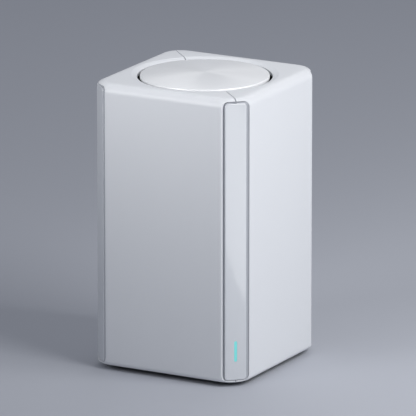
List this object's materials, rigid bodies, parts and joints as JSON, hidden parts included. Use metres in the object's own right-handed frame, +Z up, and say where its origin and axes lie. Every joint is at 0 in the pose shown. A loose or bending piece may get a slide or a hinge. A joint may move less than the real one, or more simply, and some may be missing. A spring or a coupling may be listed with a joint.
{
  "type": "mesh wifi node",
  "caption": "Free-standing square tower with cut corners and inlaid strips, a round top vent under a floating disc, a status light bar, and network, power and button ports low at the back.",
  "frame": {"origin": "middle of the underside, on the surface that the foot ring rests on", "axes": "+Z up; the front corner with the status light is at +X -Y; the ports are in the +Y face"},
  "size_m": [0.0786, 0.0786, 0.1344],
  "materials": {
    "casing_plastic": "satin moulded ABS",
    "strip_plastic": "smooth moulded inlay",
    "disc_plastic": "fine concentric spun texture",
    "dark_plastic": "moulded, fine grain",
    "light_guide": "translucent, lit from behind",
    "lamp_resin": "clear resin",
    "board": "solder mask",
    "screw_steel": "plated steel",
    "foot_rubber": "matt",
    "panel_plastic": "satin moulded",
    "socket_plastic": "moulded nylon",
    "contact_gold": "gold flash",
    "button_plastic": "moulded",
    "switch_plastic": "moulded",
    "chip_resin": "moulded epoxy",
    "seal_foam": "bonding foam, matt",
    "pad_rubber": "soft silicone",
    "sink_aluminium": "extruded, satin",
    "can_steel": "tin-plated",
    "frame_plastic": "moulded",
    "lead_sheath": "extruded sheath"
  },
  "bodies": {
    "housing": {"left_casing": "casing_plastic", "right_casing": "casing_plastic", "front_strip": "strip_plastic", "left_strip": "strip_plastic", "right_strip": "strip_plastic", "back_strip": "strip_plastic", "front_pad": "seal_foam", "left_pad": "seal_foam", "right_pad": "seal_foam", "back_pad": "seal_foam", "top_disc": "disc_plastic", "vent_bowl": "dark_plastic", "disc_screws": "screw_steel", "light_bar": "light_guide", "lamps": "lamp_resin", "light_board": "board", "light_holder": "dark_plastic", "base_tray": "dark_plastic", "base_cover": "dark_plastic", "foot_ring": "foot_rubber", "base_screws": "screw_steel", "port_panel": "panel_plastic", "network_socket_a": "socket_plastic", "network_socket_b": "socket_plastic", "socket_contacts_a": "contact_gold", "socket_contacts_b": "contact_gold", "power_inlet": "socket_plastic", "inlet_pin": "contact_gold", "pair_switch": "switch_plastic", "reset_switch": "switch_plastic", "port_board": "board", "main_board": "board", "board_link": "switch_plastic", "network_transformers": "chip_resin", "processor": "chip_resin", "thermal_pad": "pad_rubber", "heat_sink": "sink_aluminium", "shield_can_upper": "can_steel", "shield_can_lower": "can_steel", "memory_chips": "chip_resin", "capacitors": "can_steel", "inner_frame": "frame_plastic", "board_screws": "screw_steel", "antenna_front_left": "board", "antenna_front_right": "board", "antenna_left": "board", "antenna_right": "board", "coax_sockets": "contact_gold", "antenna_lead_front_left": "lead_sheath", "antenna_lead_front_right": "lead_sheath", "antenna_lead_left": "lead_sheath", "antenna_lead_right": "lead_sheath"},
    "pair_button": {"pair_button": "button_plastic", "pair_plunger": "switch_plastic"},
    "reset_plunger": {"reset_plunger": "switch_plastic"}
  },
  "joints": [
    {"name": "pair_button_press", "type": "slide", "parent": "housing", "child": "pair_button", "axis": [0, -1, 0], "range_m": [0, 0.0005], "stiffness_N_per_m": 2000},
    {"name": "reset_press", "type": "slide", "parent": "housing", "child": "reset_plunger", "axis": [0, -1, 0], "range_m": [0, 0.00025], "stiffness_N_per_m": 2000}
  ]
}
